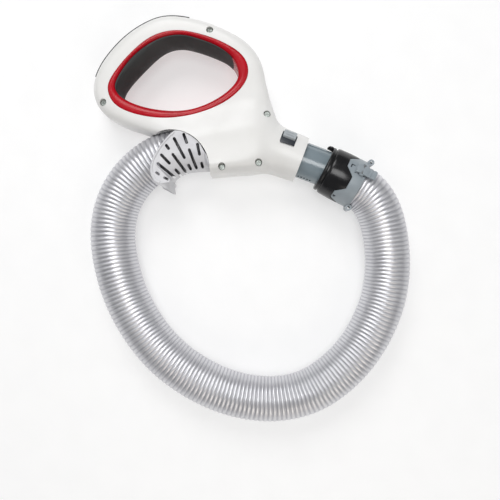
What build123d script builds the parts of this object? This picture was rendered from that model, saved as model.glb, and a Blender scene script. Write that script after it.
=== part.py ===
"""Hose handle of an upright vacuum cleaner, with its stretch hose plugged into its own neck.

The handle lies on its side on a floor at z = 0, so the hand loop and the hose ring are both
seen square on from +Z. All sizes are in millimetres.
"""
import math
import os

from build123d import *

os.makedirs("parts", exist_ok=True)

# ---------------------------------------------------------------- driving dimensions
MID = 27.5                  # height of the parting plane between the two shells
WALL = 2.2                  # moulded shell wall
LOOP_HALF = 19.0            # half thickness of the hand loop
BODY_HALF = 27.5            # half thickness of the body around the hose outlet
LOOP_ROUND = 9.0            # edge radius of the hand loop
BODY_ROUND = 12.0           # edge radius of the body
SPIGOT_R = 17.5             # 35 mm vacuum fitting
SPIGOT_WALL = 2.0
FIT = 0.08                  # running clearance on a radius
HOSE_R = 22.0
HOSE_WALL = 2.0
PRESS = 1.8                 # travel of the release button
NECK_ANGLE = -20.5          # direction of the neck, in the XY plane
OUTLET_ANGLE = 7.0          # direction of the hose outlet, pointing back into the body
CUFF_ANGLE = -27.0          # direction of the connector cuff

# ---------------------------------------------------------------- frames of reference
MOUTH = (65.0, -20.3, MID)          # centre of the neck's mouth
ELBOW = (15.8, -1.9, MID)           # where the neck axis and the outlet axis cross
CUFF_START = (87.1, -28.3, MID)     # centre of the collar's flange


def direction(angle):
    """Unit vector in the XY plane."""
    return (math.cos(math.radians(angle)), math.sin(math.radians(angle)), 0)


def along(start, angle, distance):
    """Point at a distance from start, in a direction in the XY plane."""
    ux, uy, uz = direction(angle)
    return (start[0] + distance * ux, start[1] + distance * uy, start[2])


def station(start, angle, distance):
    """Plane across an axis: local x is up the page, local y is +Z, local z is the axis."""
    ux, uy, uz = direction(angle)
    return Plane(origin=along(start, angle, distance), x_dir=(-uy, ux, 0), z_dir=(ux, uy, 0))


def profile_plane(start, angle):
    """Plane holding an axis: local x runs along the axis, local y is the radius."""
    return Plane(origin=start, x_dir=direction(angle), z_dir=(0, 0, 1))


def turned(start, angle, outline, arc=360):
    """Solid of revolution about an axis, from (distance, radius) points."""
    with BuildPart() as solid:
        with BuildSketch(profile_plane(start, angle)):
            with BuildLine():
                Polyline(*outline, close=True)
            make_face()
        revolve(axis=Axis(start, direction(angle)), revolution_arc=arc)
    return solid.part


def band(start, angle, first, last, inner, outer):
    """Plain ring about an axis, between two distances and two radii."""
    return turned(start, angle, [(first, inner), (last, inner), (last, outer), (first, outer)])


def sector(start, angle, first, last, inner, outer, centre, half_width):
    """Part of a ring, centred on an angle measured from +Z towards the upper side."""
    with BuildPart() as piece:
        with BuildSketch(station(start, angle, first)):
            Circle(outer)
            if inner > 0:
                Circle(inner, mode=Mode.SUBTRACT)
            with BuildLine():
                reach = 3 * outer
                low = math.radians(90 - centre - half_width)
                high = math.radians(90 - centre + half_width)
                Polyline(
                    (0, 0),
                    (reach * math.cos(low), reach * math.sin(low)),
                    (reach * math.cos(high), reach * math.sin(high)),
                    close=True,
                )
            make_face(mode=Mode.INTERSECT)
        extrude(amount=last - first)
    return piece.part


def corner_radii(points, closed=False):
    """Radius of the arc at each corner: as large as its two runs allow."""
    corners = [Vector(*point) for point in points]
    if closed:
        corners = [corners[-1], *corners, corners[0]]
    found = []
    for before, corner, after in zip(corners, corners[1:], corners[2:]):
        run_in = corner - before
        run_out = after - corner
        turn = math.radians(run_in.get_angle(run_out))
        found.append(0.45 * min(run_in.length, run_out.length) / math.tan(turn / 2))
    return found


def prism(points, low, high, grow=0.0, round_edges=0.0):
    """Upright solid inside a smooth closed outline, grown or shrunk, with rounded rims."""
    return cornered_prism(points, corner_radii(points, True), low, high, grow, round_edges)


def cornered_prism(points, radii, low, high, grow=0.0, round_edges=0.0):
    """Upright solid inside straight lines joined by tangent arcs, with rounded rims."""
    with BuildPart() as solid:
        with BuildSketch(Plane.XY.offset(low)):
            with BuildLine():
                FilletPolyline(*points, radius=radii, close=True)
            make_face()
            if grow:
                offset(amount=grow)
        extrude(amount=high - low)
        if round_edges:
            fillet(solid.faces().filter_by(Axis.Z).edges(), radius=round_edges)
    return solid.part


def slab(points, low, high):
    """Upright solid inside a straight-sided outline."""
    with BuildPart() as solid:
        with BuildSketch(Plane.XY.offset(low)):
            with BuildLine():
                Polyline(*points, close=True)
            make_face()
        extrude(amount=high - low)
    return solid.part


def post(x, y, low, high, radius):
    """Upright cylinder."""
    with BuildPart() as solid:
        with BuildSketch(Plane.XY.offset(low)):
            with Locations((x, y)):
                Circle(radius)
        extrude(amount=high - low)
    return solid.part


def swept(points, radii, section_r):
    """Solid rod along straight runs joined by tangent arcs."""
    with BuildPart() as solid:
        with BuildLine() as path:
            FilletPolyline(*points, radius=radii)
        start = Vector(*points[1]) - Vector(*points[0])
        with BuildSketch(Plane(origin=points[0], z_dir=start)):
            Circle(section_r)
        sweep(path=path.wires()[0])
    return solid.part


def keep(solid, name):
    """Name a finished sub-part and write it."""
    solid.label = name
    export_step(solid, f"parts/{name}.step")
    print(f"{name}: {len(solid.solids())} solid(s), {solid.volume / 1000:.2f} cm3")


# ---------------------------------------------------------------- outlines, in plan
LOOP_OUTLINE = [
    (-66, 118), (-34, 113.5), (-8, 103.5), (13, 91), (26, 73), (30.5, 50), (37, 29), (43, 15),
    (38, -4), (18, -20), (-15, -25), (-52, -6), (-88, 5.5), (-113, 14), (-131, 27), (-137, 47),
    (-130, 69), (-111, 92.5), (-90, 108.5),
]
BODY_CORNERS = [(-70, -37.5), (16, -34.5), (43, -22), (40, 18), (24, 45), (2, 38), (-26, 12), (-70, 4)]
BODY_CORNER_RADII = [16, 30, 20, 40, 14, 30, 40, 16]
TRIM_OUTLINE = [
    (-57, 101.3), (-80, 95), (-101, 77), (-118, 55.5), (-121.5, 43), (-114, 28), (-92, 19),
    (-64, 15.7), (-35, 20), (-8, 31.5), (9, 46.5), (14.5, 61), (9.5, 76), (-8, 88), (-32, 97),
]
OPENING_OUTLINE = [
    (-52, 97.5), (-74, 93), (-97, 77), (-112, 56), (-115, 44), (-105, 32), (-83, 24), (-55, 21),
    (-32, 25), (-9, 36.5), (5, 50.5), (6.5, 62), (0, 75), (-15, 86), (-33, 92.5),
]
PALM_OUTLINE = [
    (-54, 91), (-70, 86), (-90, 66), (-105, 50), (-111, 38), (-104, 26), (-83, 18), (-55, 15),
    (-30, 18), (-5, 30), (12, 46), (14, 60), (0, 73), (-15, 79), (-33, 86),
]
PAD_SECTOR = [(-1, 66), (-1, 110), (-130, 110), (-130, 34), (-104, 34), (-60, 60)]
STRIP_SECTOR = [(-150, 58), (-118, 52), (-100, 80), (-60, 102), (-43, 102), (-43, 130), (-150, 130)]
ARCH_CENTRE = (-61, -33)
ARCH_R = 38.0

# Route of the hose: out of the body, round the floor and back into the connector.
OUTLET_BACK = OUTLET_ANGLE + 180
HOSE_START = 39.1
HOSE_LOW = HOSE_R
HOSE_ROUTE = [
    along(ELBOW, OUTLET_BACK, HOSE_START), along(ELBOW, OUTLET_BACK, 64.3), (-74, -16.5, 27.3),
    (-99, -35, 25.6), (-115.5, -60, 23.6), (-122, -88, 22.4), (-119.5, -118, HOSE_LOW),
    (-110, -152, HOSE_LOW), (-94, -183, HOSE_LOW), (-73, -210, HOSE_LOW), (-47, -231, HOSE_LOW),
    (-18, -246.5, HOSE_LOW), (13, -255.5, HOSE_LOW), (44, -257, HOSE_LOW), (74, -250, HOSE_LOW),
    (100, -233, HOSE_LOW), (121.5, -210.5, HOSE_LOW), (137, -185, HOSE_LOW),
    (148, -156.5, HOSE_LOW), (152, -126, 22.4), (149.5, -96, 24), (142, -69, 26.8),
    along(CUFF_START, CUFF_ANGLE, 45.3), along(CUFF_START, CUFF_ANGLE, 22.2),
]

# Case screws: place and the height of the seat under each head.
SCREWS = [(-23.5, 100.5, 40.0), (-125.0, 31.8, 40.0), (31.0, 20.0, 44.0), (22.9, -26.0, 44.0),
          (-11.7, -30.2, 44.0)]

# ---------------------------------------------------------------- handle shells
NECK_PROFILE = [(-46, 27.2), (-36, 26.2), (-26, 24.2), (-13, 23.4), (0, 22.4)]


def handle_form(inset):
    """Outer form of the handle, or its cavity when inset by the wall."""
    loop = prism(LOOP_OUTLINE, MID - LOOP_HALF + inset, MID + LOOP_HALF - inset, -inset,
                 LOOP_ROUND - inset)
    body = cornered_prism(BODY_CORNERS, BODY_CORNER_RADII, MID - BODY_HALF + inset,
                          MID + BODY_HALF - inset, -inset, BODY_ROUND - inset)
    mouth_end = [(s if s < 0 else s - inset, r - inset) for s, r in NECK_PROFILE]
    neck = turned(MOUTH, NECK_ANGLE, [(-46, 0), *mouth_end, (mouth_end[-1][0], 0)])
    return loop + body + neck


outer_form = handle_form(0)
cavity = handle_form(WALL) - prism(TRIM_OUTLINE, 0, 2 * MID, WALL)
arch = post(*ARCH_CENTRE, -1, 2 * MID + 1, ARCH_R)
scoop_route = [along(ELBOW, OUTLET_BACK, 52), *HOSE_ROUTE[1:5]]
scoop = swept(scoop_route, corner_radii(scoop_route), HOSE_R + 0.8)
cavity = cavity - swept(scoop_route, corner_radii(scoop_route), HOSE_R + 0.8 + WALL)
strip_groove = (prism(LOOP_OUTLINE, MID - 9, MID + 9, 5) - prism(LOOP_OUTLINE, MID - 9, MID + 9, -1.3))
strip_groove = strip_groove & slab(STRIP_SECTOR, 0, 2 * MID)
outlet_bore = band(ELBOW, OUTLET_ANGLE + 180, 30, 60, 0, HOSE_R + 2.6)
mouth_bore = band(MOUTH, NECK_ANGLE, -5, 5, 0, SPIGOT_R + 0.6)

# Button seat: a plane square to the neck's surface.
BUTTON_TILT = 36.0          # from +Z towards the upper side of the neck
BUTTON_AT = -18.6           # distance from the mouth, along the neck
button_base = station(MOUTH, NECK_ANGLE, BUTTON_AT)
tilt = math.radians(BUTTON_TILT)
radial = button_base.x_dir * math.sin(tilt) + button_base.y_dir * math.cos(tilt)


def button_plane(height, sideways=0.0):
    """Plane square to the button's travel; local x runs along the neck."""
    across = button_base.z_dir.cross(radial)
    origin = button_base.origin + radial * height + across * sideways
    return Plane(origin=origin, x_dir=button_base.z_dir, z_dir=radial)


def button_block(low, high, length, width, corner, sideways=0.0):
    """Rounded block square to the button's travel."""
    with BuildPart() as solid:
        with BuildSketch(button_plane(low, sideways)):
            RectangleRounded(length, width, corner)
        extrude(amount=high - low)
    return solid.part


FRAME_SHIFT = 2.5
button_pocket = button_block(20.6, 30, 14.6, 17.0, 2.0, FRAME_SHIFT)

shell = outer_form - cavity
for x, y, seat in SCREWS:
    shell = shell + (post(x, y, 0.5, 2 * MID, 4.2) & outer_form)
shell = shell - prism(TRIM_OUTLINE, -1, 2 * MID + 1)
shell = shell - arch - scoop - strip_groove - outlet_bore - mouth_bore - button_pocket
for x, y, seat in SCREWS:
    shell = shell - post(x, y, seat, 2 * MID + 1, 3.4) - post(x, y, MID - 13, seat, 1.75)

front_half = slab([(-200, -100), (200, -100), (200, 200), (-200, 200)], MID, 2 * MID + 5)
back_half = slab([(-200, -100), (200, -100), (200, 200), (-200, 200)], -5, MID)
keep(shell & front_half, "shell_front")
keep(shell & back_half, "shell_back")

# ---------------------------------------------------------------- red trim and grips
trim = prism(TRIM_OUTLINE, MID - LOOP_HALF - 0.8, MID + LOOP_HALF + 0.8, 0, 1.2)
trim = trim - prism(OPENING_OUTLINE, -1, 2 * MID + 1)
keep(trim & front_half, "trim_ring_front")
keep(trim & back_half, "trim_ring_back")

PAD_HALF = 18.0
PAD_SLOPE = 20.0
with BuildPart() as palm_space:
    with BuildSketch(Plane.XY.offset(MID)):
        with BuildLine():
            FilletPolyline(*PALM_OUTLINE, radius=corner_radii(PALM_OUTLINE, True), close=True)
        make_face()
    extrude(amount=PAD_HALF + 1, taper=-PAD_SLOPE)
    mirror(about=Plane.XY.offset(MID))
pad = prism(OPENING_OUTLINE, MID - PAD_HALF, MID + PAD_HALF) & slab(PAD_SECTOR, 0, 2 * MID)
keep(pad - palm_space.part, "grip_pad_inner")

strip = prism(LOOP_OUTLINE, MID - 9, MID + 9, 1.0) - prism(LOOP_OUTLINE, MID - 9, MID + 9, -1.3)
keep(strip & slab(STRIP_SECTOR, 0, 2 * MID), "grip_pad_outer")

# ---------------------------------------------------------------- case screws
HEAD_R = 3.1
HEAD_HEIGHT = 2.3
SHANK_R = 1.5


def screw(x, y, seat, length):
    """Pan-head screw with a cross recess, its head up."""
    with BuildPart() as solid:
        with BuildSketch(Plane.XY.offset(seat)):
            with Locations((x, y)):
                Circle(HEAD_R)
        extrude(amount=HEAD_HEIGHT)
        fillet(solid.edges().filter_by(GeomType.CIRCLE).sort_by(Axis.Z)[-1], radius=1.0)
        with BuildSketch(Plane.XY.offset(seat - length)):
            with Locations((x, y)):
                Circle(SHANK_R)
        extrude(amount=length)
        with BuildSketch(Plane.XY.offset(seat + HEAD_HEIGHT)):
            with Locations((x, y)):
                Rectangle(3.6, 0.8)
                Rectangle(0.8, 3.6)
        extrude(amount=-1.3, mode=Mode.SUBTRACT)
    return solid.part


SCREW_TIP = MID - 12
keep(Compound(children=[screw(x, y, seat, seat - SCREW_TIP) for x, y, seat in SCREWS]), "case_screws")

# ---------------------------------------------------------------- slotted hose guard
GUARD_HALF = 24.8
GUARD_WALL = 1.9
FAN_CENTRE = (-23.5, -66.0)
# Slots lie on rays from the fan's centre: ray angle, then the radii where each slot ends.
FAN_SLOTS = [
    (101.0, [(36.5, 42), (47, 59)]), (110.0, [(37.5, 56), (60.5, 71.5)]),
    (118.0, [(39, 44.5), (49, 71.5)]), (126.0, [(40.5, 59.5), (63.5, 70)]),
    (134.0, [(42, 48), (53, 66)]), (141.5, [(43.5, 63)]), (149.0, [(44.5, 50), (54, 59)]),
]
SLOT_WIDTH = 2.2
TIP_CORNERS = [(-58, -42), (-60.6, -49), (-57.5, -56), (-59.5, -56.6), (-67, -49), (-63, -43)]
INNER_BEND = [(-59.5, -44.5), (-56, -39.5), (-46, -35), (-34, -32.8), (-23.4, -31.2)]

with BuildPart() as guard:
    with BuildSketch(Plane.XY.offset(MID - GUARD_HALF)):
        with BuildLine():
            ThreePointArc((-55, 4.2), (-80.6, -26), INNER_BEND[0])
            Spline(*INNER_BEND)
            ThreePointArc(INNER_BEND[-1], (-34.34, -6.34), (-55, 4.2))
        make_face()
    extrude(amount=2 * GUARD_HALF)
    bend_edges = guard.edges().filter_by(Plane.XY).filter_by(GeomType.BSPLINE)
    fillet(bend_edges, radius=15)
with BuildPart() as guard_space:
    with BuildSketch(Plane.XY.offset(MID - GUARD_HALF + GUARD_WALL)):
        with BuildLine():
            Spline((-66, -60), (-61.5, -44), (-57, -37.8), (-46, -33.1), (-34, -30.9), (-10, -29))
            Polyline((-10, -29), (-10, 30), (-110, 30), (-110, -60), (-66, -60))
        make_face()
    extrude(amount=2 * (GUARD_HALF - GUARD_WALL))
    space_edges = guard_space.edges().filter_by(Plane.XY).filter_by(GeomType.BSPLINE)
    fillet(space_edges, radius=13)
with BuildPart() as guard_slots:
    for angle, spans in FAN_SLOTS:
        for near, far in spans:
            middle = along((*FAN_CENTRE, 0), angle, (near + far) / 2)
            with BuildSketch(Plane.XY):
                with Locations(Location(middle, (0, 0, angle))):
                    SlotOverall(far - near, SLOT_WIDTH)
            extrude(amount=2 * MID)
with BuildPart() as guard_lip:
    for face in (MID - GUARD_HALF, MID + GUARD_HALF):
        with BuildSketch(Plane.XY.offset(face - 1)):
            with BuildLine():
                ThreePointArc((-55, 4.2), (-80.6, -26), (-62, -46))
                Line((-62, -46), (-61, -43.5))
                ThreePointArc((-61, -43.5), (-78, -25.7), (-55, 0.9))
                Line((-55, 0.9), (-55, 4.2))
            make_face()
        extrude(amount=2)
with BuildPart() as guard_tip:
    with BuildSketch(Plane.XY.offset(MID - 17)):
        with BuildLine():
            Polyline(*TIP_CORNERS, close=True)
        make_face()
    extrude(amount=34)
hose_guard = guard.part - guard_space.part - guard_slots.part + guard_lip.part + guard_tip.part
keep(hose_guard, "hose_guard")

# ---------------------------------------------------------------- air way inside the handle
DUCT_R = 14.5
DUCT_WALL = 1.6

duct_route = [along(MOUTH, NECK_ANGLE, -32), ELBOW, along(ELBOW, OUTLET_BACK, 38)]
bore_route = [along(MOUTH, NECK_ANGLE, -30), ELBOW, along(ELBOW, OUTLET_BACK, 40)]
air_duct = swept(duct_route, [40], DUCT_R) + band(ELBOW, OUTLET_BACK, 36, 38, 0, 22.5)
air_duct = air_duct + band(MOUTH, NECK_ANGLE, -33, -31.6, 0, 19.2)
air_duct = air_duct - swept(bore_route, [40], DUCT_R - DUCT_WALL)
keep(air_duct, "air_duct")

keep(band(ELBOW, OUTLET_BACK, 38, HOSE_START, DUCT_R, 21.5), "hose_seal")
keep(band(ELBOW, OUTLET_BACK, HOSE_START, 41.4, HOSE_R + FIT, HOSE_R + 1.6), "hose_swivel_ring")
keep(band(MOUTH, NECK_ANGLE, -31.5, -22, SPIGOT_R + FIT, 19.4), "socket_sleeve")
keep(band(MOUTH, NECK_ANGLE, -15, -4, SPIGOT_R + FIT, 19.4)
     + band(MOUTH, NECK_ANGLE, -4, -2.4, SPIGOT_R + FIT, 20.0), "socket_bush")
keep(band(MOUTH, NECK_ANGLE, -2.3, -0.6, SPIGOT_R + FIT, 18.0), "socket_seal")

# ---------------------------------------------------------------- release button and its latch ring
LATCH_FIRST = -20.6
LATCH_LAST = -16.6
LATCH_R = 19.6
with BuildPart() as latch:
    with BuildSketch(station(MOUTH, NECK_ANGLE, LATCH_FIRST)):
        Circle(LATCH_R)
        with Locations(Vector(math.sin(tilt), math.cos(tilt), 0) * PRESS):
            Circle(LATCH_R - 0.2)
        Circle(SPIGOT_R + 0.25, mode=Mode.SUBTRACT)
        with Locations(Vector(math.sin(tilt), math.cos(tilt), 0) * PRESS):
            Circle(SPIGOT_R + 0.25, mode=Mode.SUBTRACT)
    extrude(amount=LATCH_LAST - LATCH_FIRST)
tooth = sector(MOUTH, NECK_ANGLE, LATCH_FIRST + 0.8, LATCH_LAST - 0.8, 16.2, 18.5, BUTTON_TILT + 180, 9)
keep(latch.part + tooth, "latch_ring")

CAP_WIDTH = 10.4
cap = button_block(22.6, 25.6, 12.6, CAP_WIDTH, 1.2)
cap = cap + button_block(LATCH_R + 1.2, 22.7, 3.4, 6.0, 0.5)
keep(cap - latch.part, "release_button")

frame_block = button_block(21.6, 24.6, 14.6, 17.0, 2.0, FRAME_SHIFT) & outer_form
frame_block = frame_block - button_block(19, 30, 13.0, CAP_WIDTH + 0.4, 1.3)
keep(frame_block, "button_frame")

# ---------------------------------------------------------------- connector on the hose's far end
TAB_ANGLES = (26.0, 206.0)      # from +Z towards the upper side of the cuff
TAB_ENDS = (50.0, 46.0)         # the hose bends towards the far tab, which is shorter
TONGUE_ANGLES = (-14.0, 76.0, 166.0, 256.0)
VENT_PITCH = 3.0
VENT_COUNT = 5

spigot = turned(MOUTH, NECK_ANGLE, [
    (-31, SPIGOT_R - SPIGOT_WALL), (31, SPIGOT_R - SPIGOT_WALL), (31, 19.6), (29.2, 19.6),
    (29.2, SPIGOT_R), (-30, SPIGOT_R), (-31, SPIGOT_R - 1),
])
spigot = spigot + sector(MOUTH, NECK_ANGLE, 1.2, 19.5, SPIGOT_R - 0.2, SPIGOT_R + 0.7, 78, 24)
spigot = spigot - sector(MOUTH, NECK_ANGLE, LATCH_FIRST + 0.4, LATCH_LAST - 0.4, 14, 19,
                         BUTTON_TILT + 180, 11)
for index in range(VENT_COUNT):
    first = 2.0 + index * VENT_PITCH
    spigot = spigot - sector(MOUTH, NECK_ANGLE, first, first + 1.6, 14, 19, -73, 5)
keep(spigot, "spigot_tube")

collar = turned(CUFF_START, CUFF_ANGLE, [
    (0, 18.3), (2.6, 18.3), (2.6, 20.9), (18, 20.9), (18, 24.3), (6, 23.6), (4.4, 22.8), (4.4, 21.8),
    (3.2, 21.8), (3.2, 22.4), (0.6, 22.4), (0, 21.8),
])
collar = collar + sector(CUFF_START, CUFF_ANGLE, -5.5, 1, 18.3, 21.8, 80, 13)
for centre in TONGUE_ANGLES:
    collar = collar + sector(CUFF_START, CUFF_ANGLE, 17.5, 26.5, 23.4, 24.3, centre, 19)
keep(collar, "locking_collar")

CUFF_R = 24.2
CUFF_END = 38.0
TAB_PIVOT = 33.0
TAB_R = 24.6
PIN_R = 0.8
cuff = turned(CUFF_START, CUFF_ANGLE, [
    (11, 19.2), (20.2, 19.2), (20.2, 22.5), (CUFF_END, 22.5), (CUFF_END, CUFF_R), (18.1, CUFF_R),
    (18.1, 20.8), (11, 20.8),
])
for centre in TONGUE_ANGLES:
    cuff = cuff - sector(CUFF_START, CUFF_ANGLE, 17, 26.7, 23.35, 25, centre, 19.5)


def tangent_rod(centre, radius, length):
    """Small rod across the cuff, on the pivot line of one tab."""
    plane = station(CUFF_START, CUFF_ANGLE, TAB_PIVOT)
    lean = math.radians(centre)
    outward = plane.x_dir * math.sin(lean) + plane.y_dir * math.cos(lean)
    middle = plane.origin + outward * (TAB_R + 0.9)
    rod_dir = outward.cross(plane.z_dir)
    with BuildPart() as rod:
        with BuildSketch(Plane(origin=middle - rod_dir * (length / 2), z_dir=rod_dir)):
            Circle(radius)
        extrude(amount=length)
    return rod.part


tab_pins = []
for number, centre in enumerate(TAB_ANGLES):
    for side in (-1, 1):
        cuff = cuff + sector(CUFF_START, CUFF_ANGLE, 31, 35, 23.5, 27.2, centre + side * 13.6, 1.6)
    cuff = cuff - sector(CUFF_START, CUFF_ANGLE, 35.2, CUFF_END + 1, 23.4, 26, centre, 11.6)
    cuff = cuff - tangent_rod(centre, PIN_R + 0.03, 20)
    tab = sector(CUFF_START, CUFF_ANGLE, 27, TAB_ENDS[number], TAB_R, TAB_R + 1.8, centre, 11)
    tab = tab - tangent_rod(centre, PIN_R + FIT, 20)
    keep(tab, ("cuff_tab_near", "cuff_tab_far")[number])
    tab_pins.append(tangent_rod(centre, PIN_R, 13.4))
keep(Compound(children=tab_pins), "cuff_tab_pins")

eyelet_screws = []
for side in (-1, 1):
    eyelet_plane = station(CUFF_START, CUFF_ANGLE, 38.5)
    eye = eyelet_plane.origin + eyelet_plane.x_dir * (side * 25.6)
    eyelet = post(eye.X, eye.Y, MID - 5, MID + 8, 3.0) - band(CUFF_START, CUFF_ANGLE, 30, 50, 0, 22.6)
    cuff = cuff + eyelet - post(eye.X, eye.Y, MID - 6, MID + 9, 1.3)
    eyelet_screws.append(post(eye.X, eye.Y, MID - 4, MID + 7.5, 1.2))
keep(cuff, "connector_cuff")
keep(Compound(children=eyelet_screws), "cuff_pins")

keep(turned(CUFF_START, CUFF_ANGLE, [
    (20.3, 18.2), (36, 18.2), (36, 19.9), (22.2, 19.9), (22.2, 22.3), (20.3, 22.3),
]), "hose_ferrule")

# ---------------------------------------------------------------- stretch hose
radii = corner_radii(HOSE_ROUTE)
print("hose bend radii:", ", ".join(f"{radius:.0f}" for radius in radii))
hose = swept(HOSE_ROUTE, radii, HOSE_R) - swept(HOSE_ROUTE, radii, HOSE_R - HOSE_WALL)
with BuildLine() as hose_line:
    FilletPolyline(*HOSE_ROUTE, radius=radii)
hose_length = hose_line.wires()[0].length
hose_section = math.pi * (HOSE_R ** 2 - (HOSE_R - HOSE_WALL) ** 2)
print(f"hose length {hose_length:.0f} mm")
print(f"hose volume {hose.volume:.0f}, section times length {hose_section * hose_length:.0f}")
keep(hose, "hose")
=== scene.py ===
# %% [markdown]
# # The hose handle of an upright vacuum cleaner
# The handle lies on its side on a pale floor. A silver stretch hose leaves it under a slotted
# guard, runs round in a ring and comes back into the handle's own neck with its connector.
# The engineering model is loaded first. It fixes every size and place, so the pieces made
# here only have to give the real surfaces and finishes.

# %% Load the frame
import math

import bpy
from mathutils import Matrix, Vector


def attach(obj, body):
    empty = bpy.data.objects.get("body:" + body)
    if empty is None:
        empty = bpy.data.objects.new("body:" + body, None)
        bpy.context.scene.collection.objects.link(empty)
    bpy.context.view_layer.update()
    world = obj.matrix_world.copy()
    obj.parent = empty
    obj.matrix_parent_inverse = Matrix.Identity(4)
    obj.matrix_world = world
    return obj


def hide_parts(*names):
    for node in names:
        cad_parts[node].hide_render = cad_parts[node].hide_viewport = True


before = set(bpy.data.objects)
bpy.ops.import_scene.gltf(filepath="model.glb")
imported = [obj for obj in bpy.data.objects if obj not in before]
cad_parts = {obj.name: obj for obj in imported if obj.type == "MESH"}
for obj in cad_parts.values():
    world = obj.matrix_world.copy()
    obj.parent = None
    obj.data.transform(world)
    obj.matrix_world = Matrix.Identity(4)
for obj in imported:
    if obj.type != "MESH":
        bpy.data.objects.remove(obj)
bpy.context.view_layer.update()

# %% [markdown]
# ## Sizes and directions
# A maker keeps a few master sizes and lets the rest follow. All lengths are typed in
# millimetres and turned into metres in one place. Three straight axes carry the round
# pieces: the neck, the hose outlet and the connector cuff.

# %% Master sizes
MM = 0.001
MID = 27.5
LOOP_HALF = 19.0
BODY_HALF = 27.5
HOSE_R = 22.0
RIB_PITCH = 4.0
SHELL_WALL = 2.2
RIM_ROUND = 9
BUTTON_PLACE, BUTTON_LEAN = -18.6, 36
TAB_TURNS = (26, 206)
FAN = Vector((-23.5, -66))


def compass(angle):
    """Unit vector in the floor plane, angle in degrees from +X."""
    return Vector((math.cos(math.radians(angle)), math.sin(math.radians(angle)), 0))


def run(start, angle, distance):
    """Point at a distance from start along a compass direction."""
    return Vector(start) + compass(angle) * distance


MOUTH, NECK_ANGLE = Vector((65, -20.3, MID)), -20.5
ELBOW, OUTLET_ANGLE = Vector((15.8, -1.9, MID)), 187.0
CUFF_START, CUFF_ANGLE = Vector((87.1, -28.3, MID)), -27.0
NECK = (MOUTH, NECK_ANGLE)
CUFF = (CUFF_START, CUFF_ANGLE)
OUTLET = (ELBOW, OUTLET_ANGLE)


def ring_point(axis, distance, radius, turn):
    """Point round an axis; turn is in degrees from straight up towards the upper side."""
    start, angle = axis
    side = compass(angle + 90)
    out = side * math.sin(math.radians(turn)) + Vector((0, 0, math.cos(math.radians(turn))))
    return run(start, angle, distance) + out * radius


# %% [markdown]
# ## The camera
# The handle is seen square on from straight above, so the camera hangs over the floor and
# looks down, with the hand loop at the top of the frame.

# %% Camera
CAMERA_AT = (0.01483, -0.1088, 0.560)
bpy.ops.object.camera_add(location=CAMERA_AT, rotation=(0, 0, 0))
camera = bpy.context.object
camera.data.lens = 38.95
camera.data.sensor_width = 36
bpy.context.scene.camera = camera
print("camera at", CAMERA_AT, "lens", camera.data.lens)

# %% [markdown]
# ## Floor and light
# A light table under large soft lamps, as in a catalogue studio, keeps the shadows faint.
# The key lamp stands behind the upper side, and the top lamp draws the long highlight down
# the hose. A warm fill comes from the lower side, where the white shell turns beige.

# %% Floor and lamps
bpy.ops.mesh.primitive_plane_add(size=6, location=(0, -0.06, -0.0004))
floor = bpy.context.object
floor.name = "studio_floor"


def lamp(name, place, aim, size, power, colour):
    """Square area lamp that points at a place."""
    bpy.ops.object.light_add(type="AREA", location=place)
    light = bpy.context.object
    light.name = name
    light.rotation_euler = (Vector(aim) - Vector(place)).to_track_quat("-Z", "Y").to_euler()
    light.data.size = size
    light.data.energy = power
    light.data.color = colour
    return light


AIM = (0.01, -0.07, 0.02)
lamp("key_lamp", (-0.25, 1.00, 1.15), AIM, 0.8, 10, (1, 1, 1))
lamp("top_lamp", (0.02, -0.02, 1.5), AIM, 0.6, 6.5, (1, 1, 1))
lamp("left_lamp", (-1.2, 0.2, 1.1), AIM, 1.0, 2, (1, 1, 1))
lamp("right_lamp", (1.2, 0.1, 1.1), AIM, 1.0, 2, (1, 1, 1))
lamp("warm_fill", (0.3, -1.3, 0.7), AIM, 0.9, 4, (1, 0.93, 0.84))
world = bpy.data.worlds.new("studio_air")
bpy.context.scene.world = world
world.use_nodes = True
world.node_tree.nodes["Background"].inputs["Color"].default_value = (0.97, 0.98, 1, 1)
world.node_tree.nodes["Background"].inputs["Strength"].default_value = 0.25
bpy.context.scene.view_settings.view_transform = "Standard"

# %% [markdown]
# ## Shared shader groups
# Moulded plastic is never one flat colour. Three small groups hold what all the finishes
# share: a slow drift between two tones, a change of gloss where hands and dust have been,
# and the fine spark-eroded grain of the mould. Each is built once and placed in every
# material with its own numbers.

# %% Group tools
def group(name, inputs, outputs):
    """Empty shader group with named float, colour or vector sockets."""
    tree = bpy.data.node_groups.new(name, "ShaderNodeTree")
    for title, kind, value in inputs:
        socket = tree.interface.new_socket(name=title, in_out="INPUT", socket_type=kind)
        socket.default_value = value
    for title, kind in outputs:
        tree.interface.new_socket(name=title, in_out="OUTPUT", socket_type=kind)
    return tree, tree.nodes.new("NodeGroupInput"), tree.nodes.new("NodeGroupOutput")


def place_noise(tree, scale, detail, rough=0.5):
    """Noise on Object coordinates, with its scale from a socket."""
    where = tree.nodes.new("ShaderNodeTexCoord")
    grain = tree.nodes.new("ShaderNodeTexNoise")
    grain.inputs["Detail"].default_value = detail
    grain.inputs["Roughness"].default_value = rough
    tree.links.new(where.outputs["Object"], grain.inputs["Vector"])
    tree.links.new(scale, grain.inputs["Scale"])
    return grain.outputs["Fac"]


def spread(tree, source, low, high, from_low=0.35, from_high=0.65):
    """Map a noise value onto a range that is given by two sockets."""
    node = tree.nodes.new("ShaderNodeMapRange")
    node.inputs["From Min"].default_value = from_low
    node.inputs["From Max"].default_value = from_high
    tree.links.new(source, node.inputs["Value"])
    tree.links.new(low, node.inputs["To Min"])
    tree.links.new(high, node.inputs["To Max"])
    return node.outputs["Result"]


# %% Tone drift, gloss drift and mould grain
FLOAT, COLOUR = "NodeSocketFloat", "NodeSocketColor"

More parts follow.
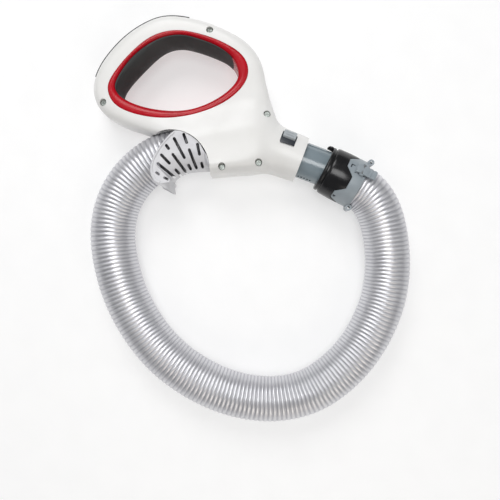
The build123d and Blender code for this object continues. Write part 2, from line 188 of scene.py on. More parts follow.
tone_drift, enter, leave = group(
    "tone_drift",
    [("Tone", COLOUR, (0.8, 0.8, 0.8, 1)), ("Other Tone", COLOUR, (0.7, 0.7, 0.7, 1)),
     ("Scale", FLOAT, 30)],
    [("Color", COLOUR)])
mix = tone_drift.nodes.new("ShaderNodeMix")
mix.data_type = "RGBA"
drift = place_noise(tone_drift, enter.outputs["Scale"], 4)
sharpen = tone_drift.nodes.new("ShaderNodeMapRange")
sharpen.inputs["From Min"].default_value = 0.35
sharpen.inputs["From Max"].default_value = 0.7
tone_drift.links.new(drift, sharpen.inputs["Value"])
tone_drift.links.new(sharpen.outputs["Result"], mix.inputs["Factor"])
tone_drift.links.new(enter.outputs["Tone"], mix.inputs["A"])
tone_drift.links.new(enter.outputs["Other Tone"], mix.inputs["B"])
tone_drift.links.new(mix.outputs["Result"], leave.inputs["Color"])

gloss_drift, enter, leave = group(
    "gloss_drift",
    [("Low", FLOAT, 0.25), ("High", FLOAT, 0.4), ("Scale", FLOAT, 60)],
    [("Roughness", FLOAT)])
wiped = place_noise(gloss_drift, enter.outputs["Scale"], 6, 0.6)
gloss_drift.links.new(
    spread(gloss_drift, wiped, enter.outputs["Low"], enter.outputs["High"]),
    leave.inputs["Roughness"])

mould_grain, enter, leave = group(
    "mould_grain",
    [("Scale", FLOAT, 1500), ("Depth", FLOAT, 1.0)],
    [("Height", FLOAT)])
sparks = place_noise(mould_grain, enter.outputs["Scale"], 3)
deepen = mould_grain.nodes.new("ShaderNodeMath")
deepen.operation = "MULTIPLY"
mould_grain.links.new(sparks, deepen.inputs[0])
mould_grain.links.new(enter.outputs["Depth"], deepen.inputs[1])
mould_grain.links.new(deepen.outputs[0], leave.inputs["Height"])
print("shader groups", [tree.name for tree in bpy.data.node_groups])


# %% [markdown]
# ## Finishes
# Every finish on this handle is a moulded plastic, a soft rubber or plated steel. One
# function builds the usual wiring, and each finish then gets its tones, its gloss and its
# grain from what the real piece shows.

# %% Finish tool
def finish(name, tone, other, low, high, grain=1500, depth=0.5, drift=40, metallic=0.0,
           coat=0.0, bump=0.0002, shine=0.5):
    """Material with drifting tone and gloss, and a fine moulded grain."""
    material = bpy.data.materials.new(name)
    material.use_nodes = True
    tree = material.node_tree
    shader = tree.nodes["Principled BSDF"]
    shader.inputs["Metallic"].default_value = metallic
    shader.inputs["Coat Weight"].default_value = coat
    shader.inputs["Coat Roughness"].default_value = 0.12
    shader.inputs["Specular IOR Level"].default_value = shine
    tones = tree.nodes.new("ShaderNodeGroup")
    tones.node_tree = tone_drift
    tones.inputs["Tone"].default_value = (*tone, 1)
    tones.inputs["Other Tone"].default_value = (*other, 1)
    tones.inputs["Scale"].default_value = drift
    tree.links.new(tones.outputs["Color"], shader.inputs["Base Color"])
    gloss = tree.nodes.new("ShaderNodeGroup")
    gloss.node_tree = gloss_drift
    gloss.inputs["Low"].default_value = low
    gloss.inputs["High"].default_value = high
    tree.links.new(gloss.outputs["Roughness"], shader.inputs["Roughness"])
    texture = tree.nodes.new("ShaderNodeGroup")
    texture.node_tree = mould_grain
    texture.inputs["Scale"].default_value = grain
    texture.inputs["Depth"].default_value = depth
    relief = tree.nodes.new("ShaderNodeBump")
    relief.inputs["Distance"].default_value = bump
    relief.inputs["Strength"].default_value = 0.5
    tree.links.new(texture.outputs["Height"], relief.inputs["Height"])
    tree.links.new(relief.outputs["Normal"], shader.inputs["Normal"])
    return material


# %% The finishes
white_abs = finish("white_abs", (0.82, 0.815, 0.80), (0.785, 0.78, 0.76), 0.30, 0.42, coat=0.1)
red_trim = finish("red_trim", (0.50, 0.002, 0.012), (0.42, 0.001, 0.009), 0.20, 0.30, shine=0.35)
soft_grip = finish("soft_grip", (0.026, 0.030, 0.030), (0.036, 0.040, 0.040), 0.6, 0.78,
                   grain=2200, depth=1.0)
guard_white = finish("guard_white", (0.68, 0.68, 0.70), (0.62, 0.62, 0.645), 0.34, 0.46, coat=0.1)
duct_plastic = finish("duct_plastic", (0.10, 0.11, 0.12), (0.08, 0.085, 0.09), 0.45, 0.6)
seal_rubber = finish("seal_rubber", (0.02, 0.02, 0.02), (0.03, 0.03, 0.03), 0.7, 0.85)
button_light = finish("button_light", (0.42, 0.45, 0.47), (0.36, 0.39, 0.41), 0.35, 0.5)
# Painted shade: this dark finish stands in for shade in the button's well and on the cuff's slit
# floors.
frame_dark = finish("frame_dark", (0.028, 0.034, 0.045), (0.02, 0.024, 0.032), 0.3, 0.45)
spigot_grey = finish("spigot_grey", (0.22, 0.27, 0.30), (0.18, 0.225, 0.25), 0.14, 0.24, coat=0.4)
collar_black = finish("collar_black", (0.005, 0.005, 0.006), (0.009, 0.009, 0.010), 0.16, 0.26,
                      shine=0.4)
cuff_grey = finish("cuff_grey", (0.31, 0.35, 0.38), (0.25, 0.29, 0.315), 0.3, 0.42)
screw_steel = finish("screw_steel", (0.52, 0.56, 0.53), (0.30, 0.33, 0.31), 0.3, 0.5,
                     metallic=0.5, drift=900)
pin_steel = finish("pin_steel", (0.4, 0.4, 0.4), (0.3, 0.3, 0.3), 0.25, 0.4, metallic=1.0)
floor_paint = finish("floor_paint", (0.56, 0.56, 0.56), (0.54, 0.54, 0.54), 0.7, 0.8)
floor_shader = floor_paint.node_tree.nodes["Principled BSDF"]
floor_shader.inputs["Emission Color"].default_value = (1, 1, 1, 1)
floor_shader.inputs["Emission Strength"].default_value = 0.45
floor.data.materials.append(floor_paint)
print("finishes", len(bpy.data.materials))

# %% [markdown]
# ## Modelling tools
# Each piece starts from a primitive and is shaped in edit mode. Round pieces are a closed
# profile that is spun round its axis. Long shaped pieces are a row of sections with a skin
# between them. Openings are cut with solid tools, and a small bevel then catches
# the light on every edge.

# %% Selection, bevel and cut
def only(piece):
    """Select one piece and make it the active one."""
    bpy.ops.object.select_all(action="DESELECT")
    piece.select_set(True)
    bpy.context.view_layer.objects.active = piece
    return piece


def clean(piece, gap=0.00001):
    """Merge doubles and turn every face outwards."""
    only(piece)
    bpy.ops.object.mode_set(mode="EDIT")
    bpy.ops.mesh.select_all(action="SELECT")
    bpy.ops.mesh.remove_doubles(threshold=gap)
    bpy.ops.mesh.normals_make_consistent(inside=False)
    bpy.ops.object.mode_set(mode="OBJECT")
    return piece


def modify(piece, kind, **settings):
    """Add a modifier, set it and apply it."""
    only(piece)
    modifier = piece.modifiers.new(kind.lower(), kind)
    for key, value in settings.items():
        setattr(modifier, key, value)
    bpy.ops.object.modifier_apply(modifier=modifier.name)
    return piece


def cut(piece, tool, operation="DIFFERENCE", solver="MANIFOLD"):
    """Take a solid tool out of a piece, and throw the tool away."""
    modify(piece, "BOOLEAN", object=tool, operation=operation, solver=solver)
    bpy.data.objects.remove(tool)
    return piece


def edge_bevel(piece, width, steps=2, angle=35):
    """Small round on every edge that is sharper than an angle."""
    return modify(piece, "BEVEL", width=width * MM, segments=steps, limit_method="ANGLE",
                  angle_limit=math.radians(angle))


def smooth(piece, angle=40):
    """Smooth shading, with a crease where faces turn more than an angle."""
    only(piece)
    bpy.ops.object.shade_smooth_by_angle(angle=math.radians(angle))
    return piece


# %% Turned, block and skinned pieces
def turned(name, axis, profile, steps=96):
    """Closed profile of (distance, radius) points, spun round an axis."""
    bpy.ops.mesh.primitive_circle_add(vertices=len(profile))
    piece = bpy.context.object
    piece.name = name
    for vertex, (distance, radius) in zip(piece.data.vertices, profile):
        vertex.co = ring_point(axis, distance, radius, 0) * MM - piece.location
    bpy.ops.object.mode_set(mode="EDIT")
    bpy.ops.mesh.select_all(action="SELECT")
    bpy.ops.mesh.spin(steps=steps, angle=math.tau, center=axis[0] * MM, axis=compass(axis[1]))
    bpy.ops.object.mode_set(mode="OBJECT")
    return clean(piece)


def block(name, outline, low, high):
    """Upright block inside a closed outline of (x, y) points."""
    bpy.ops.mesh.primitive_circle_add(vertices=len(outline), fill_type="NGON")
    piece = bpy.context.object
    piece.name = name
    for vertex, (x, y) in zip(piece.data.vertices, outline):
        vertex.co = Vector((x, y, low)) * MM
    bpy.ops.object.mode_set(mode="EDIT")
    bpy.ops.mesh.select_all(action="SELECT")
    bpy.ops.mesh.extrude_region_move(TRANSFORM_OT_translate={"value": (0, 0, (high - low) * MM)})
    bpy.ops.object.mode_set(mode="OBJECT")
    return clean(piece)


def quick_grid(name, rows, columns, place):
    """Closed skin made of rows that each run once round the piece."""
    points = [place(row, column) * MM for row in range(rows) for column in range(columns)]
    faces = []
    for row in range(rows):
        for column in range(columns):
            right = (column + 1) % columns
            below = (row + 1) % rows
            faces.append((row * columns + column, row * columns + right,
                          below * columns + right, below * columns + column))
    mesh = bpy.data.meshes.new(name)
    mesh.from_pydata(points, [], faces)
    piece = bpy.data.objects.new(name, mesh)
    bpy.context.scene.collection.objects.link(piece)
    return clean(piece)


def lofted(name, sections):
    """Solid through a row of closed sections with equal numbers of points."""
    count = len(sections[0])
    points = [point * MM for section in sections for point in section]
    faces = [list(range(count)), list(range((len(sections) - 1) * count, len(sections) * count))]
    for row in range(len(sections) - 1):
        for column in range(count):
            right = (column + 1) % count
            faces.append((row * count + column, row * count + right,
                          (row + 1) * count + right, (row + 1) * count + column))
    mesh = bpy.data.meshes.new(name)
    mesh.from_pydata(points, [], faces)
    piece = bpy.data.objects.new(name, mesh)
    bpy.context.scene.collection.objects.link(piece)
    return clean(piece)


def rounded(corners, steps=8):
    """Smooth closed line inside a ring of corners: it touches the middle of every side."""
    line = []
    count = len(corners)
    for index in range(count):
        before, corner, after = (Vector(corners[(index + k) % count]) for k in (-1, 0, 1))
        first, last = (before + corner) / 2, (corner + after) / 2
        for step in range(steps):
            t = step / steps
            line.append(first * (1 - t) ** 2 + corner * 2 * t * (1 - t) + last * t ** 2)
    return line


def smoothstep(t):
    """Ease from 0 to 1."""
    t = min(1, max(0, t))
    return t * t * (3 - 2 * t)

# %% [markdown]
# ## The hose
# The stretch hose is a thin silver vinyl skin over a wire coil, so it is a row of round
# ribs with narrow grooves that lie in shade. Its middle line is one smooth curve through the air
# way's own route. The ribs are rings set square to that curve, which lets them close up inside a
# bend and fan out on its outer side, as the real one does. A closed grid gives every rib
# its six rows, and an attribute marks the grooves for the painted shade in their folds.

# %% The hose's middle line
HOSE_ROUTE = [
    run(ELBOW, OUTLET_ANGLE, 39.1), run(ELBOW, OUTLET_ANGLE, 64.3), (-74, -16.5, 27.3),
    (-99, -35, 25.6), (-115.5, -60, 23.6), (-122, -88, 22.4), (-119.5, -118, 22),
    (-110, -152, 22), (-94, -183, 22), (-73, -210, 22), (-47, -231, 22),
    (-18, -246.5, 22), (13, -255.5, 22), (44, -257, 22), (74, -250, 22),
    (100, -233, 22), (121.5, -210.5, 22), (137, -185, 22),
    (148, -156.5, 22), (152, -126, 22.4), (149.5, -96, 24), (142, -69, 26.8),
    run(CUFF_START, CUFF_ANGLE, 45.3), run(CUFF_START, CUFF_ANGLE, 22.2),
]


def nurbs_line(name, route):
    """Points along a smooth open curve whose control points are the route, in metres."""
    data = bpy.data.curves.new(name, "CURVE")
    data.dimensions = "3D"
    spline = data.splines.new("NURBS")
    spline.points.add(len(route) - 1)
    for point, place in zip(spline.points, route):
        point.co = (*(Vector(place) * MM), 1)
    spline.order_u = 3
    spline.use_endpoint_u = True
    spline.resolution_u = 16
    holder = bpy.data.objects.new(name, data)
    bpy.context.scene.collection.objects.link(holder)
    drawn = bpy.data.meshes.new_from_object(holder)
    points = [vertex.co.copy() for vertex in drawn.vertices]
    bpy.data.objects.remove(holder)
    return points


hose_line = nurbs_line("hose_line", HOSE_ROUTE)
reach = [0.0]
for before, after in zip(hose_line, hose_line[1:]):
    reach.append(reach[-1] + (after - before).length / MM)
print("hose length", round(reach[-1], 1), "mm")


def on_hose(distance):
    """Place and direction on the hose's middle line, at a distance in millimetres."""
    index = next((k for k in range(1, len(reach) - 1) if reach[k] >= distance), len(reach) - 1)
    part = (distance - reach[index - 1]) / (reach[index] - reach[index - 1])
    place = hose_line[index - 1].lerp(hose_line[index], part)
    ahead = (hose_line[min(index + 1, len(reach) - 1)] - hose_line[index - 1])
    behind = (hose_line[index] - hose_line[max(index - 2, 0)])
    return place / MM, ahead.normalized().lerp(behind.normalized(), 1 - part).normalized()


# %% The ribbed skin
RIB_ROWS = [(0.0, 21.2), (0.12, 21.42), (0.3, 21.85), (0.5, 22.0), (0.7, 21.85), (0.88, 21.42)]
HOSE_COLUMNS = 64
rib_count = round(reach[-1] / RIB_PITCH)
pitch = reach[-1] / rib_count
hose_rows = [((k + phase) * pitch, radius) for k in range(rib_count) for phase, radius in RIB_ROWS]
hose_rows.append((reach[-1], 21.2))
hose_rows += [(reach[-1] * k / 60, 19.6) for k in range(60, -1, -1)]
hose_rows.append(hose_rows[0])
hose_frames = [(on_hose(distance), radius) for distance, radius in hose_rows]


def hose_skin(row, column):
    """Point on the ribbed skin; the last rows run back along the smooth inside."""
    (place, ahead), radius = hose_frames[row]
    side = ahead.cross(Vector((0, 0, 1))).normalized()
    up = side.cross(ahead)
    turn = math.tau * column / HOSE_COLUMNS
    return place + (side * math.cos(turn) + up * math.sin(turn)) * radius


hose = quick_grid("hose_ribbed", len(hose_rows) - 1, HOSE_COLUMNS, hose_skin)
# Painted shade: this attribute marks the folds between the ribs, which the finish darkens.
groove_shade = hose.data.attributes.new("groove_shade", "FLOAT", "POINT")
# Painted shade: this attribute marks the hose inside the guard, which the finish darkens as if in
# shadow.
guard_shade = hose.data.attributes.new("guard_shade", "FLOAT", "POINT")
for index, vertex in enumerate(hose.data.vertices):
    row = index // HOSE_COLUMNS
    radius = hose_rows[row][1]
    arm = (vertex.co / MM).xy - FAN
    bearing = math.degrees(math.atan2(arm.y, arm.x)) % 360
    edge = 76 - 27 * smoothstep((bearing - 125) / 32)
    guard_shade.data[index].value = smoothstep((edge - arm.length) / 2) if bearing < 170 else 0
    groove_shade.data[index].value = smoothstep((22.0 - radius) / 0.8)
smooth(hose, 70)
print("hose faces", len(hose.data.polygons))

# %% [markdown]
# The vinyl is silver grey with a slight violet cast. It looks like metal without being it:
# a half metallic shader with a wiped gloss gives that. The groove attribute paints shade
# into the folds, where no light gets in, and a second one paints shade on the part inside the guard.

# %% Hose finish
hose_vinyl = finish("hose_vinyl", (0.76, 0.76, 0.785), (0.69, 0.69, 0.715), 0.36, 0.46,
                    grain=900, depth=0.4, drift=25, metallic=0.8)
tree = hose_vinyl.node_tree
shader = tree.nodes["Principled BSDF"]
silver = shader.inputs["Base Color"].links[0].from_socket
mark = tree.nodes.new("ShaderNodeAttribute")
mark.attribute_name = "groove_shade"
# Painted shade: this mix darkens the folds between the ribs to a grey.
fold_shade = tree.nodes.new("ShaderNodeMix")
fold_shade.data_type = "RGBA"
fold_shade.inputs["B"].default_value = (0.50, 0.50, 0.535, 1)
tree.links.new(mark.outputs["Fac"], fold_shade.inputs["Factor"])
tree.links.new(silver, fold_shade.inputs["A"])
shade_mark = tree.nodes.new("ShaderNodeAttribute")
shade_mark.attribute_name = "guard_shade"
# Painted shade: this mix darkens the hose inside the guard, which lies in shadow there.
shade = tree.nodes.new("ShaderNodeMix")
shade.data_type = "RGBA"
shade.inputs["B"].default_value = (0.11, 0.11, 0.115, 1)
tree.links.new(shade_mark.outputs["Fac"], shade.inputs["Factor"])
tree.links.new(fold_shade.outputs["Result"], shade.inputs["A"])
tree.links.new(shade.outputs["Result"], shader.inputs["Base Color"])
hose.data.materials.append(hose_vinyl)
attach(hose, "handle")
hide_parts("hose")

# %% [markdown]
# ## The white shells
# The handle is two ABS shells that swell smoothly from the thin hand loop to the thick body
# round the air way. Two flat blocks give the outline. Every point of them is then lifted
# away from the parting plane, the more the nearer it is to the air way, and the neck's
# turned cone is added. A voxel remesh melts the three into one skin, and smoothing rounds
# the joints, as the mould maker does by hand.

# %% Outlines in plan
LOOP_OUTLINE = [
    (-66, 118), (-34, 113.5), (-8, 103.5), (13, 91), (26, 73), (30.5, 50), (37, 29), (41, 14),
    (30, -8), (14, -20), (-15, -25), (-52, -6), (-88, 5.5), (-113, 14), (-131, 27),
    (-137, 47), (-130, 69), (-111, 92.5), (-90, 108.5),
]
BODY_OUTLINE = [
    (-70, -20), (-58, -37.5), (-25, -37), (5, -34.2), (22, -33), (33, -26), (34, -6), (33, 14),
    (26, 34), (8, 36), (-14, 22), (-40, 8), (-64, 2),
]
TRIM_OUTLINE = [
    (-57, 101.3), (-80, 95), (-101, 77), (-118, 55.5), (-121.5, 43), (-114, 28), (-92, 19),
    (-64, 15.7), (-35, 20), (-8, 31.5), (9, 46.5), (14.5, 61), (9.5, 76), (-8, 88), (-32, 97),
]
OPENING_OUTLINE = [
    (-52, 97.5), (-74, 93), (-97, 77), (-112, 56), (-115, 44), (-103.5, 33.4), (-82, 26),
    (-55, 23.2), (-33, 27.2), (-11, 38.4), (3, 52), (4, 63), (-1.5, 75), (-15, 85.5), (-33, 92.5),
]
PALM_OUTLINE = [
    (-54, 91), (-70, 86), (-90, 66), (-105, 50), (-111, 38), (-104, 26), (-83, 18), (-55, 15),
    (-30, 18), (-5, 30), (12, 46), (14, 60), (0, 73), (-15, 79), (-33, 86),
]
SCREWS = [(-23.5, 100.5, 40), (-125, 31.8, 40), (31, 20, 44), (22.9, -26, 44), (-11.7, -30.2, 44)]
AIR_SPINE = [Vector((-60, -24)), Vector((4, -12)), Vector((16, -8))]


def swell(x, y):
    """How far a point of the flat blocks moves away from the parting plane, as a factor."""
    here = Vector((x, y))
    gaps = []
    for start, end in zip(AIR_SPINE, AIR_SPINE[1:]):
        leg = end - start
        part = min(1, max(0, (here - start).dot(leg) / leg.length_squared))
        gaps.append((here - start - leg * part).length)
    near = smoothstep((46 - min(gaps)) / 34)
    return 1 + near * (BODY_HALF / LOOP_HALF - 1)


def rim_block(name, outline, half, rim):
    """Block of even thickness about the parting plane, with a round rim."""
    piece = block(name, rounded(outline), MID - half, MID + half)
    bpy.ops.object.mode_set(mode="EDIT")
    bpy.ops.mesh.select_all(action="DESELECT")
    bpy.ops.object.mode_set(mode="OBJECT")
    for edge in piece.data.edges:
        ends = [piece.data.vertices[k].co.z / MM for k in edge.vertices]
        edge.select = abs(ends[0] - ends[1]) < 0.01
    bpy.ops.object.mode_set(mode="EDIT")
    bpy.ops.mesh.bevel(offset=rim * MM, segments=8, clamp_overlap=False)
    bpy.ops.object.mode_set(mode="OBJECT")
    return piece


def melt(pieces, voxel):
    """Join closed pieces into one skin with a voxel remesh."""
    bpy.ops.object.select_all(action="DESELECT")
    for piece in pieces:
        piece.select_set(True)
    bpy.context.view_layer.objects.active = pieces[0]
    bpy.ops.object.join()
    return modify(pieces[0], "REMESH", mode="VOXEL", voxel_size=voxel * MM)


# %% Melt the outer form
form = rim_block("handle_form", LOOP_OUTLINE, LOOP_HALF, RIM_ROUND)
body_block = rim_block("body_block", BODY_OUTLINE, LOOP_HALF, RIM_ROUND)
neck_block = turned("neck_block", NECK, [
    (-62, 0.05), (-62, 24), (-56, 26.6), (-40, 26.0), (-26, 24.5), (-13, 23.4), (6, 22.1),
    (6, 0.05)])
form = melt([form, body_block], 1.6)
for vertex in form.data.vertices:
    x, y, z = vertex.co / MM
    vertex.co.z = (MID + (z - MID) * swell(x, y)) * MM
form = melt([form, neck_block], 1.3)
melted = form.vertex_groups.new(name="melted")
for vertex in form.data.vertices:
    x, y, z = vertex.co / MM
    joint = (Vector((x, y)) - Vector((34, 0))).length
    mouth = (vertex.co / MM - MOUTH).length
    weight = smoothstep((52 - joint) / 26) * smoothstep((mouth - 22) / 14)
    melted.add([vertex.index], weight, "REPLACE")
modify(form, "SMOOTH", factor=0.5, iterations=220, vertex_group="melted")
modify(form, "SMOOTH", factor=0.5, iterations=14)
print("handle form faces", len(form.data.polygons))

# %% [markdown]
# The shells are 2.2 mm thick. The inner skin is the outer one moved inwards, with room
# left solid round the screws and behind the hose. The openings are then cut out with solid
# tools: the hand opening, the arch for the guard, the hose, the spigot, the button and the
# screw wells. Two box cuts part the shells along a hairline.

# %% Upright and hose tools
def post(name, x, y, low, high, radius):
    """Upright round tool."""
    bpy.ops.mesh.primitive_cylinder_add(vertices=48, radius=radius * MM, depth=(high - low) * MM,
                                        location=Vector((x, y, (low + high) / 2)) * MM)
    tool = bpy.context.object
    tool.name = name
    bpy.ops.object.transform_apply(location=True, rotation=True, scale=True)
    return tool


def hose_tool(radius):
    """Round tool along the hose's first bend."""
    sections = []
    for step in range(24):
        place, ahead = on_hose(12 + step * 5.0)
        side = ahead.cross(Vector((0, 0, 1))).normalized()
        up = side.cross(ahead)
        sections.append([place + (side * math.cos(turn) + up * math.sin(turn)) * radius
                         for turn in (math.tau * k / 48 for k in range(48))])
    return lofted("hose_tool", sections)


# %% The inner skin
TRIM_WALL, BOSS_R, HOSE_ROOM = 2.4, 4.6, 3.0
TOOL_LOW, TOOL_HIGH = -2, 60
inner = form.copy()
inner.data = form.data.copy()
bpy.context.scene.collection.objects.link(inner)
modify(inner, "DISPLACE", strength=-SHELL_WALL * MM, mid_level=0.0)
modify(inner, "SMOOTH", factor=0.5, iterations=6)
cut(inner, hose_tool(HOSE_R + HOSE_ROOM))
OPENING_MIDDLE = Vector((-53, 57))
wall_line = [Vector(point) + (Vector(point) - OPENING_MIDDLE).normalized() * TRIM_WALL
             for point in TRIM_OUTLINE]
cut(inner, block("trim_wall", rounded(wall_line), TOOL_LOW, TOOL_HIGH))
for x, y, seat in SCREWS:
    cut(inner, post("boss", x, y, TOOL_LOW, TOOL_HIGH, BOSS_R))
only(inner)
bpy.ops.object.mode_set(mode="EDIT")
bpy.ops.mesh.select_all(action="SELECT")
bpy.ops.mesh.flip_normals()
bpy.ops.object.mode_set(mode="OBJECT")
bpy.ops.object.select_all(action="DESELECT")
inner.select_set(True)
form.select_set(True)
bpy.context.view_layer.objects.active = form
bpy.ops.object.join()

# %% Cut the openings
ARCH_MIDDLE, ARCH_R, ARCH_GAP = Vector((-61, -33)), 38, 0.5
WELL_R, HOSE_GAP = 3.4, 0.8
cut(form, block("opening_tool", rounded(TRIM_OUTLINE), TOOL_LOW, TOOL_HIGH))
cut(form, post("arch_tool", ARCH_MIDDLE.x, ARCH_MIDDLE.y, TOOL_LOW, TOOL_HIGH, ARCH_R))
cut(form, hose_tool(HOSE_R + HOSE_GAP))
cut(form, turned("outlet_tool", OUTLET, [(30, 0.05), (30, 24.6), (60, 24.6), (60, 0.05)]))
cut(form, turned("mouth_end", NECK, [(0, 0.05), (0, 40), (12, 40), (12, 0.05)]))
cut(form, turned("mouth_tool", NECK, [(-5, 0.05), (-5, 20.4), (-0.8, 20.4), (3, 20.9), (3, 0.05)]))
cut(form, turned("latch_room", NECK, [(-21.6, 0.05), (-21.6, 22.2), (-15.6, 22.2), (-15.6, 0.05)]))
for x, y, seat in SCREWS:
    cut(form, post("well", x, y, seat, TOOL_HIGH, WELL_R))
print("cut form faces", len(form.data.polygons))

# %% The strip's groove and the button pocket
loop_line = rounded(LOOP_OUTLINE, 10)
STRIP_FIRST, STRIP_COUNT = 159, 45


def outward(line, index):
    """Unit vector out of a closed clockwise line at one of its points."""
    along = line[(index + 1) % len(line)] - line[index - 1]
    return Vector((-along.y, along.x)).normalized()


def strip_sections(profile):
    """Sections of (outward, height) points along the outer side of the hand loop."""
    sections = []
    for index in range(STRIP_FIRST, STRIP_FIRST + STRIP_COUNT):
        place = loop_line[index % len(loop_line)]
        out = outward(loop_line, index % len(loop_line))
        sections.append([Vector((*(place + out * reach_out), MID + height))
                         for reach_out, height in profile])
    return sections


def button_frame(height, sideways=0.0):
    """Place at a height on the button's axis, and the directions along and across the neck."""
    along = compass(NECK_ANGLE)
    lean = math.radians(BUTTON_LEAN)
    out = compass(NECK_ANGLE + 90) * math.sin(lean) + Vector((0, 0, math.cos(lean)))
    across = along.cross(out)
    return run(MOUTH, NECK_ANGLE, BUTTON_PLACE) + out * height + across * sideways, along, across


def button_block(name, low, high, length, width, corner, sideways=0.0):
    """Rounded block square to the button's travel."""
    sections = []
    for height in (low, high):
        origin, along, across = button_frame(height, sideways)
        ring = []
        for k in range(32):
            turn = math.tau * (k + 0.5) / 32
            x, y = math.cos(turn), math.sin(turn)
            ring.append(origin
                        + along * (math.copysign(length / 2 - corner, x) + corner * x)
                        + across * (math.copysign(width / 2 - corner, y) + corner * y))
        sections.append(ring)
    return lofted(name, sections)


cut(form, lofted("strip_groove", strip_sections([
    (-3.2, -14.5), (5, -14.5), (5, 14.5), (-3.2, 14.5), (-1.8, 11), (-1.5, 8), (-1.5, -8),
    (-1.8, -11)])))
CAP_SHIFT, WELL_SHIFT = -1.0, 2.5
cut(form, button_block("button_pocket", 20.6, 30, 14.8, 17.2, 3.3, WELL_SHIFT))

# %% The two halves
HAIRLINE = 0.06
FLOOR_LOW, SHELL_HIGH = -4, 62
for name, low, high in (("white_shell_front", MID + HAIRLINE, SHELL_HIGH),
                        ("white_shell_back", FLOOR_LOW, MID - HAIRLINE)):
    half = form.copy()
    half.data = form.data.copy()
    half.name = name
    bpy.context.scene.collection.objects.link(half)
    side_box = block("side_box", [(-160, -60), (90, -60), (90, 140), (-160, 140)], low, high)
    cut(half, side_box, "INTERSECT")
    half.data.materials.clear()
    half.data.materials.append(white_abs)
    smooth(half, 32)
    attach(half, "handle")
    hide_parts("shell_front" if low > 0 else "shell_back")
    print(name, "faces", len(half.data.polygons))
bpy.data.objects.remove(form)


def dress(piece, material, body, slot, *nodes):
    """Finish a piece: material, body and the nodes it stands for. The slot is not used."""
    piece.data.materials.clear()
    piece.data.materials.append(material)
    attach(piece, body)
    if nodes:
        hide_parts(*nodes)
    print(piece.name, "faces", len(piece.data.polygons), "on", body)
    return piece


# %% [markdown]
# ## Red trim and soft grips
# The hand opening is lined with a glossy red ring in two halves, a bead that is widest where
# the thumb rests. Inside it sits a soft charcoal pad, thickest at its middle so that it fills
# the palm, and a thin strip of the same rubber runs round the outside of the loop.

# %% Red trim ring
trim_line = rounded(TRIM_OUTLINE, 12)
opening_line = rounded(OPENING_OUTLINE, 12)
palm_line = rounded(PALM_OUTLINE, 12)
BEAD = [(0, 0.05), (0, 18.5), (0.07, 19.2), (0.22, 19.7), (0.42, 19.8), (0.62, 19.45), (0.8, 18.7),
        (0.93, 17.6), (1, 16.2), (1, 0.05)]


def trim_half(name, side):
    """One half of the ring: the bead section carried round between its two outlines."""
    def place(row, column):
        share, height = BEAD[row]
        flat = trim_line[column].lerp(opening_line[column], share)
        return Vector((*flat, MID + side * height))
    return smooth(quick_grid(name, len(BEAD), len(trim_line), place), 50)


dress(trim_half("red_ring_front", 1), red_trim, "handle", "red_trim", "trim_ring_front")
dress(trim_half("red_ring_back", -1), red_trim, "handle", "red_trim", "trim_ring_back")

# %% Palm pad and outer strip
PAD_FIRST, PAD_COUNT, PAD_HALF = 150, 96, 17.6


def pad_section(index, fullness):
    """Closed section of the pad: flat against the ring, swelling towards the palm."""
    outer = opening_line[index % len(opening_line)]
    inner = palm_line[index % len(palm_line)]
    outer = outer.lerp(inner, 0.02)
    section = []
    for k in range(17):
        height = -PAD_HALF + 2 * PAD_HALF * k / 16
        fill = (1 - abs(height / PAD_HALF) ** 1.9) * fullness
        edge = 0.10 if k in (0, 16) else 0.16
        flat = outer.lerp(inner, max(edge, 0.16 + 0.84 * fill))
        section.append(Vector((*flat, MID + height)))
    return section + [Vector((*outer, MID + height)) for height in (PAD_HALF, -PAD_HALF)]


pad_rows = []
for k in range(PAD_COUNT):
    from_end = min(k, PAD_COUNT - 1 - k)
    pad_rows.append(pad_section(PAD_FIRST + k, 0.80 + 0.20 * smoothstep(from_end / 4)))
palm_pad = edge_bevel(lofted("palm_pad", pad_rows), 0.5, 2, 50)
dress(smooth(palm_pad, 50), soft_grip, "handle", "dark_grip", "grip_pad_inner")

CROWN = [(-2.9, -14.3), (-1.0, -14.3), (0.1, -13.2), (0.65, -11), (0.9, -8), (0.9, 8), (0.65, 11),
         (0.1, 13.2), (-1.0, 14.3), (-2.9, 14.3), (-1.5, 10.8), (-1.2, 7.8), (-1.2, -7.8),
         (-1.5, -10.8)]
strip = lofted("grip_strip", strip_sections(CROWN)[1:-1])
dress(smooth(strip, 40), soft_grip, "handle", "dark_grip", "grip_pad_outer")

# %% [markdown]
# ## Release button
# A light grey cap stands in a moulded frame on the upper side of the neck. The frame's dark
# colour is painted shade: it shows as a dark well below the cap, where the cap's sloped front lies in
# shadow. Two shallow grooves keep the thumb from slipping.

# %% Button and its frame
cap = button_block("button_cap", 22.7, 25.5, 12.6, 8.4, 1.2, CAP_SHIFT)
stem = button_block("button_stem", 20.8, 22.8, 3.4, 6.0, 0.5)
cut(cap, stem, "UNION")
for offset in (-1.6, 1.6):
    cut(cap, button_block("rib_groove", 25.1, 26.5, 8.0, 0.8, 0.3, offset + CAP_SHIFT))
dress(smooth(edge_bevel(cap, 0.5, 3), 40), button_light, "button", "button_grey", "release_button")

# Painted shade: the frame's dark finish fills the well below the cap, where the cap's front lies in
# shadow.
frame_ring = button_block("button_well", 21.6, 23.6, 14.6, 17.0, 3.2, WELL_SHIFT)
cut(frame_ring, button_block("well_tool", 19, 30, 13.0, 8.8, 1.3, CAP_SHIFT))
cut(frame_ring, turned("neck_tool", NECK, [(-40, 23.95), (-40, 40), (5, 40), (5, 23.0), (-13, 23.3)]))
dress(smooth(edge_bevel(frame_ring, 0.25, 2), 40), frame_dark, "handle", "frame_dark",
      "button_frame")

